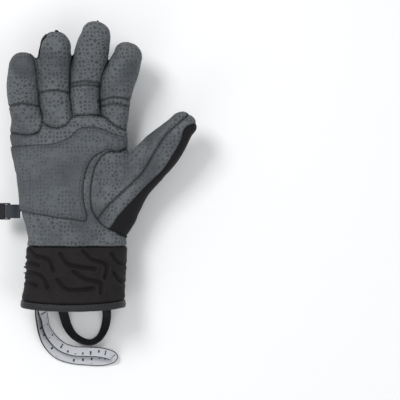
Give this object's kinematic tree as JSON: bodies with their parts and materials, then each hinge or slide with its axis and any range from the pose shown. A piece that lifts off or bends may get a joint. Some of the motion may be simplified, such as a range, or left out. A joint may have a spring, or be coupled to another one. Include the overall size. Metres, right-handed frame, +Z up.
{
  "type": "climbing glove",
  "caption": "Right-hand full-finger climbing glove, lying palm up, with leather palm, softshell back, raised cuff, closure tab, wrist leash, pull loop and side clip.",
  "frame": {"origin": "middle of the glove's box on the surface that it lies on", "axes": "+X to the thumb side, +Y to the fingertips, +Z up out of the palm"},
  "size_m": [0.1738, 0.3022, 0.0558],
  "materials": {
    "leather": "matte pebbled grey leather",
    "softshell": "matte black woven softshell",
    "neoprene": "matte black embossed neoprene",
    "binding": "satin dark grey tape",
    "webbing": "woven webbing, black with a grey inner face on the leash",
    "clip_plastic": "moulded black plastic"
  },
  "bodies": {
    "root": {"palm_leather": "leather", "palm_patch": "leather", "little_finger_front": "leather", "ring_finger_front": "leather", "middle_finger_front": "leather", "index_finger_front": "leather", "thumb_web_panel": "leather", "thumb_side_panel": "leather", "thumb_back": "softshell", "finger_backs": "softshell", "hand_back": "softshell", "wrist_back": "softshell", "cuff_back": "softshell", "slit_gusset": "softshell", "closure_tab": "softshell", "cuff_palm": "neoprene", "cuff_hem": "binding", "slit_binding": "binding", "pull_loop": "webbing", "leash_loop": "webbing", "clip_webbing": "webbing", "clip_hook": "clip_plastic"}
  },
  "joints": []
}
